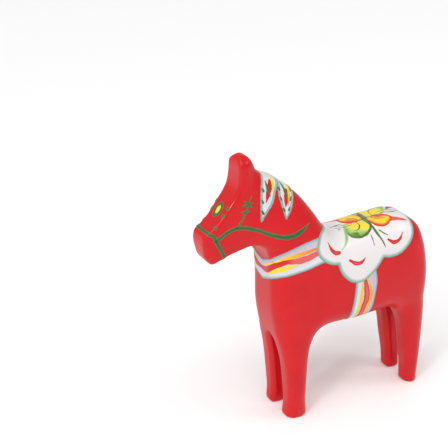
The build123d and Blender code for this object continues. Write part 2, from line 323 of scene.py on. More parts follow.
SKIN_POINTS, SKIN_QUADS = surface_nets(GRID)
SKIN_NORMALS = outward(SKIN_POINTS)


# Ways of looking at the skin, each giving flat or solid coordinates in which paint marks are drawn

# The breastbone, the lowest point that counts as the back, and how deep the flat of the face goes
CHEST_FRONT = -19.0
BACK_LOW = 55.0
FACE_SKIN = 2.4
# The middle of the flower along the back
FLOWER_HEART = 21.9
# A distance that is out of reach of every mark
FAR = 90.0


def side_view(points):
    """Back and up, the same on both flanks."""
    return points[:, 1:]


def both_sides(points):
    """Out from the middle, back and up."""
    return np.column_stack([np.abs(points[:, 0]), points[:, 1:]])


def chest_view(points):
    """Round the chest from the breastbone back along the flank, and up."""
    return np.column_stack([np.abs(points[:, 0]) + points[:, 1] - CHEST_FRONT, points[:, 2]])


def back_view(points):
    """Looking down on the back. Anything low on the horse is moved out of the way."""
    return np.column_stack([np.where(points[:, 2] < BACK_LOW, FAR, points[:, 0]), points[:, 1]])


def back_turned(points):
    """The same, turned half round about the heart of the flower."""
    return np.array((0, 2 * FLOWER_HEART)) - back_view(points)


def face_view(points):
    """On the flat of the face: across, and down from below the ears."""
    y, z = points[:, 1], points[:, 2]
    on_face = face_depth(y, z) < FACE_SKIN
    return np.column_stack([np.where(on_face, points[:, 0], FAR), face_reach(y, z)])


# Regions: functions of skin points, negative inside the mark, in millimetres

# How far round a mark its distance is worked out
STROKE_REACH = 3.0
STROKE_STEPS = 6


def stroke(view, points, widths):
    """One brush stroke along a smooth line, its width changing evenly through the list."""
    line = smooth_line(points, STROKE_STEPS)
    if line.shape[1] == 3:
        line = on_skin(line)
    half = np.interp(np.linspace(0, 1, len(line)), np.linspace(0, 1, len(widths)), widths) / 2
    low, high = line.min(0) - STROKE_REACH, line.max(0) + STROKE_REACH

    def region(skin):
        seen = view(skin)
        near = ((seen > low) & (seen < high)).all(1)
        some = seen[near]
        best = np.full(len(some), FAR)
        for a, b, wide_a, wide_b in zip(line, line[1:], half, half[1:]):
            edge = b - a
            share = np.clip((some - a) @ edge / (edge @ edge + 1e-12), 0, 1)
            gap = np.linalg.norm(some - a - share[:, None] * edge, axis=1)
            best = np.minimum(best, gap - wide_a - (wide_b - wide_a) * share)
        out = np.full(len(skin), FAR)
        out[near] = best
        return out

    return region


def strokes(view, marks):
    """Several brush strokes as one region, each with its points and widths."""
    return together(*[stroke(view, points, widths) for points, widths in marks])


def area(view, outline):
    """The inside of a closed outline."""
    def region(skin):
        seen = view(skin)
        near = ((seen > outline.min(0) - STROKE_REACH) & (seen < outline.max(0) + STROKE_REACH)).all(1)
        out = np.full(len(skin), FAR)
        out[near] = loop_distance(seen[near], outline)
        return out

    return region


def spot(view, centre, radii):
    """An oval dab."""
    centre, radii = np.array(centre), np.array(radii)

    def region(skin):
        return (np.linalg.norm((view(skin) - centre) / radii, axis=1) - 1) * radii.min()

    return region


def together(*regions):
    """Where any of the regions is."""
    return lambda skin: np.minimum.reduce([region(skin) for region in regions])


def within(*regions):
    """Where all of the regions are."""
    return lambda skin: np.maximum.reduce([region(skin) for region in regions])


def outside(region):
    """Everywhere else."""
    return lambda skin: -region(skin)


def grown(region, by):
    """The region with its edge moved out."""
    return lambda skin: region(skin) - by


def rim(region, width):
    """The strip just inside a region's edge."""
    return lambda skin: np.abs(region(skin) + width / 2) - width / 2


def unsteady(skin):
    """The small wandering of a hand-held brush."""
    x, y, z = skin.T
    slow = np.sin(1.7 * y + 0.9 * z) * np.cos(1.3 * z - 0.8 * x)
    quick = np.sin(3.9 * z + 2.1 * y + x)
    return 0.05 * slow + 0.025 * quick


# Cutting a film of paint from the skin. Its height grows from the edge inwards, and it is sunk a little into
# the layer below.

EDGE_SOFTNESS = 0.3
EDGE_HEIGHT = 0.45
SUNK = 0.05
LOW_FILM = 0.08
MID_FILM = 0.14
HIGH_FILM = 0.2
# The smallest share of a mesh edge that a cut leaves
SLIVER = 0.06
# How far in from the edge of a stroke its colour is full
TONE_DEPTH = 0.7
# How close to a mark still counts as on it
NEAR = 0.1


def finer(points, quads):
    """Every quad in four, with the new points put on the skin."""
    sides = np.concatenate([quads[:, [i, (i + 1) % 4]] for i in range(4)])
    pairs, which = np.unique(np.sort(sides, 1), axis=0, return_inverse=True)
    which = which.reshape(-1)
    count = len(points)
    middles = points[pairs].mean(1)
    centres = points[quads].mean(1)
    a, b, c, d = (count + which[i * len(quads):(i + 1) * len(quads)] for i in range(4))
    centre = count + len(pairs) + np.arange(len(quads))
    p, q, r, s = quads.T
    small = np.stack([[p, a, centre, d], [a, q, b, centre], [centre, b, r, c], [d, centre, c, s]])
    added = on_skin(np.vstack([middles, centres]), 1)
    return np.vstack([points, added]), small.transpose(0, 2, 1).reshape(-1, 4)


def clipped(points, triangles, values):
    """The part of the triangles where the values are negative, cut cleanly along zero."""
    inside = values < 0
    count = inside[triangles].sum(1)
    whole = triangles[count == 3]
    new_faces, ends, cuts = [], [], {}

    def cut(a, b):
        key = (a, b) if a < b else (b, a)
        if key not in cuts:
            cuts[key] = len(points) + len(ends)
            ends.append(key)
        return cuts[key]

    for triangle in triangles[(count == 1) | (count == 2)].tolist():
        flags = [bool(inside[corner]) for corner in triangle]
        odd = flags.index(sum(flags) == 1)
        a, b, c = triangle[odd:] + triangle[:odd]
        ab, ca = cut(a, b), cut(a, c)
        if flags[odd]:
            new_faces.append((a, ab, ca))
        else:
            new_faces.append((ab, b, c))
            new_faces.append((ab, c, ca))
    if ends:
        ends = np.array(ends)
        first, second = values[ends[:, 0]], values[ends[:, 1]]
        share = np.clip(first / (first - second), SLIVER, 1 - SLIVER)[:, None]
        new_points = points[ends[:, 0]] * (1 - share) + points[ends[:, 1]] * share
        points = np.vstack([points, new_points])
        values = np.concatenate([values, np.zeros(len(ends))])
        whole = np.vstack([whole, np.array(new_faces)])
    used, flat = np.unique(whole, return_inverse=True)
    return points[used], flat.reshape(-1, 3), values[used]


def edge_walls(faces, count):
    """Quads that join the open edges of a sheet to those of its copy, whose points come `count` later."""
    sides = faces.shape[1]
    edges = np.concatenate([faces[:, [i, (i + 1) % sides]] for i in range(sides)])
    forward = edges[:, 0] * count + edges[:, 1]
    backward = edges[:, 1] * count + edges[:, 0]
    start, end = edges[~np.isin(forward, backward)].T
    return np.column_stack([end, start, start + count, end + count])


def film(region, height, fineness):
    """A closed film of paint over a region of the skin.

    Gives its points and faces, and for each point its place on the skin and how far inside the region it is.
    """
    def value(skin):
        return region(skin) + unsteady(skin)

    points, quads = SKIN_POINTS, SKIN_QUADS
    # Only cells within a little more than their own size of the region are kept and made finer
    reach = GRID * 1.1
    for _ in range(fineness):
        near = (value(points)[quads] < reach).any(1)
        used, flat = np.unique(quads[near], return_inverse=True)
        points, quads = finer(points[used], flat.reshape(-1, 4))
        reach /= 2
    triangles = np.vstack([quads[:, [0, 1, 2]], quads[:, [0, 2, 3]]])
    base, triangles, depth = clipped(points, triangles, value(points))
    normals = outward(base)
    rise = np.clip(-depth / EDGE_SOFTNESS, 0, 1)
    raised = height * (EDGE_HEIGHT + (1 - EDGE_HEIGHT) * np.sqrt(1 - (1 - rise) ** 2))
    top = base + normals * raised[:, None]
    bottom = base - normals * SUNK
    count = len(base)
    faces = triangles.tolist() + (triangles[:, ::-1] + count).tolist() + edge_walls(triangles, count).tolist()
    return np.vstack([top, bottom]), faces, np.vstack([base, base]), np.concatenate([depth, depth])


def add_piece(name, points, faces, material, tone=None):
    """A mesh that stands for one CAD node, with its tone stored on its points for the material."""
    mesh = bpy.data.meshes.new(name)
    mesh.from_pydata(((points + CENTRING) * MM).tolist(), [], faces)
    mesh.polygons.foreach_set("use_smooth", [True] * len(mesh.polygons))
    mesh.materials.append(material)
    if tone is not None:
        mesh.attributes.new("tone", "FLOAT", "POINT").data.foreach_set("value", tone.astype(np.float32))
    mesh.update()
    piece = bpy.data.objects.new("painted_" + name, mesh)
    bpy.context.scene.collection.objects.link(piece)
    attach(piece, "root")
    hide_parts(name)


def add_paint(name, region, material, height, tone=None, fineness=1):
    """A film of paint, its tone running from 0 at the edge of the stroke to 1 well inside unless given."""
    points, faces, base, depth = film(region, height, fineness)
    shade = tone(base) if tone else np.clip(-depth / TONE_DEPTH, 0, 1)
    add_piece(name, points, faces, material, shade)


def across_rim(region, width):
    """A tone running from 0 to 1 across the strip just inside a region's edge."""
    return lambda skin: np.clip(-region(skin) / width, 0, 1)


def fade(view, start, end):
    """A tone running from 0 to 1 between two places."""
    start, end = np.array(start, float), np.array(end, float)
    run = (end - start) / ((end - start) @ (end - start))
    return lambda skin: np.clip((view(skin) - start) @ run, 0, 1)


# Paint and wood

# The colours below are as they look in the bright room. The paint's own brightness is this share of that.
PAINT_SHARE = 0.85
BUMP_DEPTH = 0.0003


def srgb(*values):
    """A colour seen in the bright white room, from 0 to 255, as the linear colour of the paint itself."""
    shares = np.array(values) / 255
    linear = np.where(shares < 0.04045, shares / 12.92, ((shares + 0.055) / 1.055) ** 2.4)
    return (*(PAINT_SHARE * linear), 1)


def new_material(name):
    """A material that remembers the record's slot it is the finish of."""
    material = bpy.data.materials.new("finish_" + name)
    material["slot"] = name
    material.use_nodes = True
    return material, material.node_tree.nodes, material.node_tree.links


def noise(nodes, links, scale, detail=2.0):
    """Noise over the object itself, with features about one over the scale in metres."""
    place = nodes.new("ShaderNodeTexCoord")
    texture = nodes.new("ShaderNodeTexNoise")
    texture.inputs["Scale"].default_value = scale
    texture.inputs["Detail"].default_value = detail
    links.new(place.outputs["Object"], texture.inputs["Vector"])
    return texture.outputs["Fac"]


def ramp(nodes, links, value, stops):
    """A colour for each value from 0 to 1."""
    node = nodes.new("ShaderNodeValToRGB")
    elements = node.color_ramp.elements
    while len(elements) < len(stops):
        elements.new(0.5)
    for element, (position, color) in zip(elements, stops):
        element.position = position
        element.color = color
    links.new(value, node.inputs["Fac"])
    return node.outputs["Color"]


def bumped(nodes, links, shader, height, strength):
    """Fine relief on the surface."""
    bump = nodes.new("ShaderNodeBump")
    bump.inputs["Strength"].default_value = strength
    bump.inputs["Distance"].default_value = BUMP_DEPTH
    links.new(height, bump.inputs["Height"])
    links.new(bump.outputs["Normal"], shader.inputs["Normal"])


def arithmetic(nodes, links, operation, first, second):
    """One sum of two sockets or numbers."""
    node = nodes.new("ShaderNodeMath")
    node.operation = operation
    for socket, value in zip(node.inputs, (first, second)):
        if isinstance(value, (int, float)):
            socket.default_value = value
        else:
            links.new(value, socket)
    return node.outputs["Value"]


def brushed_paint(name, stops, streaks=0.22, gloss=0.32):
    """Oil paint: colours laid along the stroke's tone, broken up by the streaks of the bristles."""
    material, nodes, links = new_material(name)
    shader = nodes["Principled BSDF"]
    shader.inputs["Roughness"].default_value = gloss
    shader.inputs["Specular IOR Level"].default_value = 0.3
    shader.inputs["Coat Weight"].default_value = 0.2
    shader.inputs["Coat Roughness"].default_value = 0.12
    tone = nodes.new("ShaderNodeAttribute")
    tone.attribute_name = "tone"
    coarse = noise(nodes, links, scale=700)
    shift = arithmetic(nodes, links, "MULTIPLY", arithmetic(nodes, links, "SUBTRACT", coarse, 0.5), streaks)
    mixed = arithmetic(nodes, links, "ADD", tone.outputs["Fac"], shift)
    links.new(ramp(nodes, links, mixed, stops), shader.inputs["Base Color"])
    bumped(nodes, links, shader, noise(nodes, links, scale=1500, detail=3), strength=0.12)
    return material


def lacquer(name, dark, light):
    """Even glossy paint under varnish, with only a faint unevenness."""
    material, nodes, links = new_material(name)
    shader = nodes["Principled BSDF"]
    shader.inputs["Roughness"].default_value = 0.4
    shader.inputs["Specular IOR Level"].default_value = 0.15
    shader.inputs["Coat Weight"].default_value = 0.3
    shader.inputs["Coat Roughness"].default_value = 0.08
    cloudy = noise(nodes, links, scale=90, detail=3)
    links.new(ramp(nodes, links, cloudy, [(0.35, dark), (0.65, light)]), shader.inputs["Base Color"])
    bumped(nodes, links, shader, noise(nodes, links, scale=260), strength=0.08)
    return material


def pine(name):
    """Bare end grain: rings about a line beside the leg, with fine pores."""
    material, nodes, links = new_material(name)
    shader = nodes["Principled BSDF"]
    shader.inputs["Roughness"].default_value = 0.7
    place = nodes.new("ShaderNodeTexCoord")
    rings = nodes.new("ShaderNodeTexWave")
    rings.wave_type = "RINGS"
    rings.rings_direction = "Z"
    rings.inputs["Scale"].default_value = 220
    rings.inputs["Distortion"].default_value = 2.0
    rings.inputs["Detail"].default_value = 2.0
    links.new(place.outputs["Object"], rings.inputs["Vector"])
    stops = [(0.0, srgb(214, 178, 124)), (0.7, srgb(232, 202, 152)), (1.0, srgb(186, 140, 88))]
    links.new(ramp(nodes, links, rings.outputs["Fac"], stops), shader.inputs["Base Color"])
    bumped(nodes, links, shader, noise(nodes, links, scale=2500, detail=3), strength=0.3)
    return material


RED = lacquer("glossy_red_paint", srgb(210, 12, 20), srgb(219, 16, 26))
PINE = pine("bare_pine")
WHITE = brushed_paint(
    "white_paint", [(0.0, srgb(220, 216, 222)), (0.5, srgb(234, 229, 230)), (1.0, srgb(238, 233, 232))],
)
MINT = brushed_paint(
    "mint_paint", [(0.0, srgb(118, 166, 150)), (0.45, srgb(146, 188, 174)), (1.0, srgb(200, 216, 210))],
)
RED_STROKE = brushed_paint(
    "red_stroke_paint", [(0.0, srgb(206, 44, 50)), (0.5, srgb(218, 26, 30)), (1.0, srgb(236, 98, 92))],
)
YELLOW_GREEN = brushed_paint(
    "yellow_green_paint",
    [
        (0.0, srgb(92, 140, 50)), (0.3, srgb(166, 204, 104)),
        (0.6, srgb(226, 226, 110)), (0.85, srgb(252, 226, 50)),
    ],
)
ORANGE = brushed_paint(
    "orange_paint",
    [
        (0.0, srgb(232, 96, 88)), (0.25, srgb(218, 48, 34)), (0.5, srgb(228, 78, 30)),
        (0.68, srgb(246, 150, 30)), (0.9, srgb(252, 214, 40)),
    ],
)
GREEN = brushed_paint(
    "green_paint", [(0.0, srgb(112, 118, 66)), (0.4, srgb(66, 110, 58)), (1.0, srgb(40, 92, 46))],
)
LIGHT_GREEN = brushed_paint(
    "light_green_paint", [(0.0, srgb(200, 222, 190)), (0.5, srgb(160, 206, 130)), (1.0, srgb(120, 180, 90))],
)
LILAC = brushed_paint(
    "lilac_white_paint", [(0.0, srgb(204, 182, 202)), (0.5, srgb(214, 206, 220)), (1.0, srgb(224, 230, 234))],
)
BLUE_GREY = brushed_paint(
    "blue_grey_paint", [(0.0, srgb(134, 158, 166)), (0.5, srgb(156, 188, 188)), (1.0, srgb(200, 210, 216))],
)
YELLOW = brushed_paint(
    "yellow_paint", [(0.0, srgb(240, 130, 60)), (0.5, srgb(248, 180, 44)), (1.0, srgb(252, 222, 48))],
)
FLOOR_PAINT = brushed_paint(
    "floor_paint", [(0.0, (0.96, 0.96, 0.96, 1)), (1.0, (0.98, 0.98, 0.98, 1))], streaks=0.1, gloss=0.8,
)


# The carved pine and its red coat. The coat stops at the soles, which are left bare: there the wood comes
# down through the coat's thickness to the floor.

COAT = 0.3
SOLE_LEVEL = 0.12
SOLE_SLOPE = 0.9
FOOT_HEIGHT = 2.0
FOOT_SLOPE = 0.8


def add_body():
    sole = (SKIN_POINTS[:, 2] < SOLE_LEVEL) & (SKIN_NORMALS[:, 2] < -SOLE_SLOPE)
    inner = SKIN_POINTS - COAT * SKIN_NORMALS
    facing_down = np.clip((-SKIN_NORMALS[:, 2] - FOOT_SLOPE) / (1 - FOOT_SLOPE), 0, 1)
    core = inner.copy()
    core[:, 2] -= COAT * facing_down * (SKIN_POINTS[:, 2] < FOOT_HEIGHT)
    core[:, 2] = np.maximum(core[:, 2], 0)
    add_piece("pine_core", core, SKIN_QUADS.tolist(), PINE)
    coated = SKIN_QUADS[~sole[SKIN_QUADS].all(1)]
    count = len(SKIN_POINTS)
    faces = np.vstack([coated, coated[:, ::-1] + count, edge_walls(coated, count)])
    used, flat = np.unique(faces, return_inverse=True)
    add_piece("red_base_coat", np.vstack([SKIN_POINTS, inner])[used], flat.reshape(-1, 4).tolist(), RED)


add_body()

# Saddle: three scallops on each flank, meeting over the back

FRONT_SCALLOP = (
    (5.2, 75.0), (5.2, 69.6), (3.8, 70.7), (1.5, 71.2), (-0.2, 71.0), (-1.3, 70.5), (-2.2, 69.6),
    (-3.0, 68.0), (-3.5, 66.2), (-3.2, 63.7), (-1.6, 61.3), (1.8, 59.2), (4.2, 58.7),
)
LOW_SCALLOP = (
    (4.2, 58.7), (4.9, 56.2), (6.3, 54.0), (9.0, 51.6), (11.8, 50.7), (14.6, 51.0), (17.1, 52.4),
    (19.4, 54.1), (22.5, 57.5),
)
REAR_SCALLOP = (
    (22.5, 57.5), (25.5, 56.9), (29.4, 57.3), (32.5, 59.1), (35.2, 61.9), (36.4, 64.0), (37.0, 66.0),
    (37.6, 75.0),
)
SADDLE_BORDER = 1.15
BORDER_OVERLAP = 0.2
CRESCENTS = (
    (((1.2, 66.8), (2.2, 64.2), (3.6, 62.8), (5.4, 62.5)), (0.25, 1.1, 1.5, 0.9)),
    (((8.8, 59.3), (11.0, 57.9), (13.4, 57.8), (14.9, 59.1)), (0.8, 1.4, 1.2, 0.2)),
    (((25.2, 62.9), (27.2, 61.7), (29.6, 62.2), (31.4, 64.0)), (0.8, 1.3, 1.0, 0.2)),
)
REAR_CRESCENT = (((-2.4, 32.6), (-3.2, 34.0), (-3.0, 35.4)), (0.5, 1.4, 0.7))

SCALLOPS = [smooth_line(part)[:-1] for part in (FRONT_SCALLOP, LOW_SCALLOP, REAR_SCALLOP)]
saddle = area(side_view, np.vstack(SCALLOPS))
saddle_inside = grown(saddle, -SADDLE_BORDER)
clear_of_saddle = grown(outside(saddle), NEAR)


def add_saddle():
    crescents = together(strokes(side_view, CRESCENTS), stroke(back_view, *REAR_CRESCENT))
    ground = grown(saddle, -(1 - BORDER_OVERLAP) * SADDLE_BORDER)
    border = rim(saddle, SADDLE_BORDER)
    add_paint("saddle_white_ground", ground, WHITE, LOW_FILM)
    add_paint("saddle_mint_border", border, MINT, MID_FILM, across_rim(saddle, SADDLE_BORDER))
    add_paint("saddle_red_crescents", crescents, RED_STROKE, HIGH_FILM, fineness=2)


add_saddle()

# Flower over the back, seen from above: a green and an orange petal towards each flank, turned half round

GREEN_PETAL = (
    (0.0, 21.8), (-0.6, 19.4), (-0.5, 16.4), (0.3, 13.7), (2.6, 12.2), (5.4, 11.4),
    (7.2, 12.4), (7.8, 15.2), (7.3, 18.3), (5.8, 20.6), (3.4, 21.7),
)
GREEN_PETAL_YELLOW = (((1.2, 14.4), (2.4, 16.0), (3.0, 17.4)), ((2.7, 18.2), (4.4, 19.2), (5.4, 19.4)))
ORANGE_PETAL = (
    (0.2, 22.4), (-0.6, 24.6), (-0.5, 27.2), (0.9, 29.6), (3.4, 30.6), (5.2, 29.8),
    (6.7, 27.2), (6.7, 24.4), (5.4, 22.6), (2.6, 22.0),
)
ORANGE_PETAL_YELLOW = ((1.2, 23.6), (3.6, 24.6), (4.6, 26.4), (3.9, 28.6))
PETAL_HEART_WIDTHS = (1.4, 1.6, 1.2)
ORANGE_TAIL = (((4.6, 29.8), (5.3, 31.4), (6.0, 33.4), (6.6, 35.4)), (2.4, 1.7, 1.2, 0.4))
TAIL_TONE = 0.2
GREEN_STROKES = (
    (
        ((0.2, 22.0), (3.0, 22.0), (5.8, 20.8), (7.5, 18.2), (7.9, 15.2), (7.1, 12.2), (5.4, 11.2)),
        (0.6, 0.8, 0.8, 0.6, 0.2),
    ),
    (((0.8, 18.2), (3.4, 17.8), (5.2, 16.0), (5.2, 13.8)), (0.3, 0.6, 0.2)),
    (((-0.4, 21.0), (5.4, 21.4), (8.2, 21.8), (10.3, 22.9), (11.4, 23.6)), (0.5, 0.9, 0.9, 0.5, 0.15)),
    (((7.8, 19.3), (9.3, 19.3), (10.5, 19.3)), (0.2, 0.5, 0.15)),
    (((7.6, 23.1), (8.6, 24.2), (9.5, 25.7)), (0.5, 0.4, 0.15)),
    (((0.8, 24.2), (2.7, 26.0), (3.5, 28.6)), (0.5, 0.5, 0.15)),
    (((-0.1, 7.8), (-0.8, 10.7), (-0.9, 13.2)), (0.15, 0.4, 0.2)),
    (((2.8, 9.6), (1.8, 11.1)), (0.2, 0.4, 0.1)),
    (((-1.6, 28.0), (-1.6, 31.2), (-0.9, 34.6)), (0.4, 0.4, 0.15)),
    (((-0.4, 28.8), (-0.1, 31.4), (0.5, 34.0)), (0.4, 0.3, 0.15)),
)
HEART_RADII = (0.7, 0.6)
STEM = (
    ((0.4, 13.4), (3.0, 12.2), (5.4, 11.0), (7.6, 9.8), (9.1, 8.2), (10.1, 6.2)),
    (0.5, 1.3, 1.5, 1.2, 0.6, 0.2),
)
FLOWER_VIEWS = (back_view, back_turned)


def twice(make, *shape):
    """A mark of the flower, and the same turned half round."""
    return together(*[make(view, *shape) for view in FLOWER_VIEWS])


def petal_tone(petals, hearts, brightest):
    """From 0 at the petals' edge to the brightest along their middle."""
    bright = twice(strokes, [(heart, PETAL_HEART_WIDTHS) for heart in hearts])

    def tone(skin):
        inwards = np.maximum(-petals(skin), 0)
        away = np.maximum(bright(skin), 0)
        return np.clip(inwards / (inwards + away + 1e-6), 0, 1) * brightest

    return tone


def add_flower():
    orange = twice(area, smooth_loop(ORANGE_PETAL))
    green = twice(area, smooth_loop(GREEN_PETAL))
    orange_tone = petal_tone(orange, [ORANGE_PETAL_YELLOW], 0.8)
    heart = spot(back_view, (0, FLOWER_HEART), HEART_RADII)
    leaves = together(heart, twice(strokes, GREEN_STROKES))

    def orange_or_tail(skin):
        return np.where(orange(skin) < NEAR, TAIL_TONE + orange_tone(skin), 0)

    stems = within(twice(stroke, *STEM), saddle_inside)
    green_petals = within(green, saddle_inside, outside(orange))
    orange_petals = within(together(orange, twice(stroke, *ORANGE_TAIL)), saddle_inside)
    green_tone = petal_tone(green, GREEN_PETAL_YELLOW, 1.0)
    add_paint("flower_green_stems", stems, LIGHT_GREEN, MID_FILM)
    add_paint("flower_yellow_green_petals", green_petals, YELLOW_GREEN, MID_FILM, green_tone)
    add_paint("flower_orange_petals", orange_petals, ORANGE, MID_FILM, orange_or_tail)
    add_paint("flower_leaf_strokes", within(leaves, saddle_inside), GREEN, HIGH_FILM, fineness=2)


add_flower()

# Breast band, in the chest's own coordinates: round from the breastbone, and up

BREAST_TOP = (
    (-1.5, 61.5), (1.5, 61.8), (4.3, 63.0), (9.1, 65.3), (13.0, 66.5), (17.0, 67.6), (21.0, 68.6),
    (24.5, 69.2), (28.0, 69.6),
)
BREAST_LOW = (
    (-1.5, 53.9), (1.5, 54.1), (4.9, 55.4), (10.1, 57.0), (14.4, 57.8), (19.3, 58.5), (23.4, 59.2),
    (27.4, 60.2), (30.0, 60.6),
)
BREAST_WAVE = (
    ((-2.0, 58.1), (1.0, 58.2), (3.6, 58.6), (8.2, 61.3), (11.7, 62.6), (14.7, 63.1), (17.6, 62.3)),
    (1.3, 1.6, 2.2, 2.3, 2.1, 1.6, 0.6),
)
BREAST_CORAL = (((15.0, 63.0), (18.8, 62.9), (22.4, 63.3), (26.4, 64.4)), (1.4, 2.3, 2.3, 1.9))
BREAST_HIGH_YELLOW = (
    ((2.2, 59.8), (8.2, 62.6), (13.4, 64.3), (17.4, 64.8), (21.7, 65.3), (26.0, 66.0)),
    (0.2, 1.3, 1.4, 1.6, 1.4, 0.9),
)
BREAST_LOW_YELLOW = (
    ((4.4, 57.4), (7.4, 59.0), (10.8, 60.3), (14.4, 61.0), (18.8, 61.7)),
    (0.3, 1.6, 1.9, 1.5, 0.3),
)
BAND_END = 12.0
BAND_EDGE = 1.0
EDGE_OVERLAP = 0.3


def breast_band(skin):
    """Between the band's two edges, as far back as under the saddle."""
    around, height = chest_view(skin).T
    top, low = smooth_line(BREAST_TOP), smooth_line(BREAST_LOW)
    above = height - np.interp(around, top[:, 0], top[:, 1])
    below = np.interp(around, low[:, 0], low[:, 1]) - height
    too_far = np.where(skin[:, 1] > BAND_END, FAR, -FAR)
    return np.maximum(np.maximum(above, below), too_far)


def add_band(name, band, light):
    """A band's ground and edges, stopping at the saddle."""
    ground = within(grown(band, -(1 - EDGE_OVERLAP) * BAND_EDGE), clear_of_saddle)
    edges = within(rim(band, BAND_EDGE), clear_of_saddle)
    add_paint(name + "_ground", ground, LILAC, LOW_FILM, light)
    add_paint(name + "_edges", edges, BLUE_GREY, MID_FILM, across_rim(band, BAND_EDGE))


def add_breast_band():
    wave = within(strokes(chest_view, (BREAST_WAVE, BREAST_CORAL)), clear_of_saddle)
    high_yellow = stroke(chest_view, *BREAST_HIGH_YELLOW)
    yellow = within(together(high_yellow, stroke(chest_view, *BREAST_LOW_YELLOW)), clear_of_saddle)
    to_coral = fade(chest_view, (13.5, 63), (17.0, 63))
    to_orange = fade(chest_view, (9, 66), (24, 66))

    def wave_tone(skin):
        return 0.4 + 0.6 * to_coral(skin)

    def yellow_tone(skin):
        return 1 - 0.9 * to_orange(skin) * (high_yellow(skin) < 2 * NEAR)

    add_band("breast_band", breast_band, fade(chest_view, (14, 66.5), (16.5, 58.5)))
    add_paint("breast_band_yellow_strokes", yellow, YELLOW, MID_FILM, yellow_tone, fineness=2)
    add_paint("breast_band_red_wave", wave, RED_STROKE, HIGH_FILM, wave_tone, fineness=2)


add_breast_band()

# Girth band, down the flank and under the belly, seen from the side

GIRTH_FRONT = ((11.4, 57.0), (11.0, 50.9), (10.5, 44.6), (9.7, 38.0), (9.5, 30.0))
GIRTH_REAR = (
    (18.6, 57.0), (19.3, 53.3), (19.7, 49.8), (19.3, 46.1), (18.8, 42.5), (18.2, 38.1), (18.0, 30.0),
)
GIRTH_RED = (
    ((14.7, 52.0), (15.1, 48.6), (15.5, 46.5), (15.4, 43.3), (14.6, 41.2), (14.2, 37.0), (14.2, 30.0)),
    (1.0, 1.9, 2.2, 2.0, 1.9, 1.9),
)
GIRTH_YELLOW = (
    ((14.1, 51.4), (13.5, 48.4), (13.4, 46.2), (13.3, 43.9), (12.8, 41.7), (12.6, 36.5), (12.6, 30.0)),
    ((15.8, 51.4), (16.8, 47.7), (17.3, 45.5), (17.0, 42.9), (16.1, 40.8), (15.9, 37.3), (15.9, 30.0)),
)
GIRTH_YELLOW_WIDTHS = (0.5, 1.2, 1.3, 1.2, 1.2)


def add_girth_band():
    band = area(side_view, np.vstack([smooth_line(GIRTH_FRONT), smooth_line(GIRTH_REAR)[::-1]]))
    red = within(stroke(side_view, *GIRTH_RED), clear_of_saddle)
    stripes = strokes(side_view, [(points, GIRTH_YELLOW_WIDTHS) for points in GIRTH_YELLOW])
    yellow = within(stripes, clear_of_saddle)
    to_orange = fade(side_view, (15, 30), (17.5, 30))

    def yellow_tone(skin):
        return 0.75 - 0.5 * to_orange(skin)

    add_band("girth_band", band, fade(side_view, (19, 45), (11.5, 45)))
    add_paint("girth_band_yellow_stripes", yellow, YELLOW, MID_FILM, yellow_tone, fineness=2)
    add_paint("girth_band_red_stripe", red, RED_STROKE, HIGH_FILM, fineness=2)


add_girth_band()

# Mane: two plumes laid over the crest, coming to a point on each side of the neck

PLUMES = (
    (((-20.6, 95.0), (-21.4, 91.0), (-22.0, 87.0), (-22.4, 83.0), (-22.8, 78.4)),
     ((-15.2, 94.0), (-15.8, 90.6), (-17.2, 87.6), (-18.6, 83.8), (-20.9, 80.9), (-22.8, 78.4))),
    (((-14.9, 93.0), (-15.6, 88.6), (-15.6, 85.8), (-14.8, 82.0), (-13.9, 77.8)),
     ((-9.8, 91.0), (-10.4, 86.2), (-11.2, 83.4), (-12.2, 80.4), (-13.9, 77.8))),
)
PLUME_EDGE_WIDTHS = (0.7, 0.9, 0.9, 0.5)
PLUME_HEARTS = (
    ((-18.6, 90.6), (-19.4, 87.6), (-20.6, 84.2)),
    ((-12.8, 86.6), (-13.2, 84.4), (-13.7, 81.6)),
)
HEART_WIDTHS = (1.2, 2.0, 1.6, 0.3)
MANE_YELLOW = (
    (((-17.6, 92.2), (-17.6, 90.0), (-18.0, 86.6)), (0.8, 1.0, 0.3)),
    (((-12.0, 89.6), (-11.9, 87.2), (-12.2, 84.6), (-13.0, 81.6)), (0.7, 1.0, 0.9, 0.3)),
)
MANE_GREEN = (
    (((-20.4, 91.2), (-19.8, 88.8), (-19.0, 86.0)), (0.3, 1.0, 0.3)),
    (((-14.6, 89.4), (-13.6, 86.8), (-12.9, 84.0)), (0.3, 1.0, 0.3)),
    (((-21.7, 88.8), (-21.3, 88.0)), (0.7, 0.9)),
    (((-22.1, 85.2), (-21.8, 84.4)), (0.7, 0.9)),
    (((-22.4, 81.7), (-22.0, 80.9)), (0.7, 0.9)),
    (((-15.9, 88.3), (-15.5, 87.5)), (0.6, 0.8)),
    (((-15.5, 85.0), (-15.1, 84.2)), (0.6, 0.8)),
    (((-14.7, 81.2), (-14.3, 80.4)), (0.6, 0.8)),
    (((-10.9, 86.9), (-11.1, 86.1)), (0.6, 0.8)),
    (((-11.6, 84.3), (-11.8, 83.5)), (0.6, 0.8)),
    (((-12.4, 81.2), (-12.7, 80.4)), (0.6, 0.8)),
)


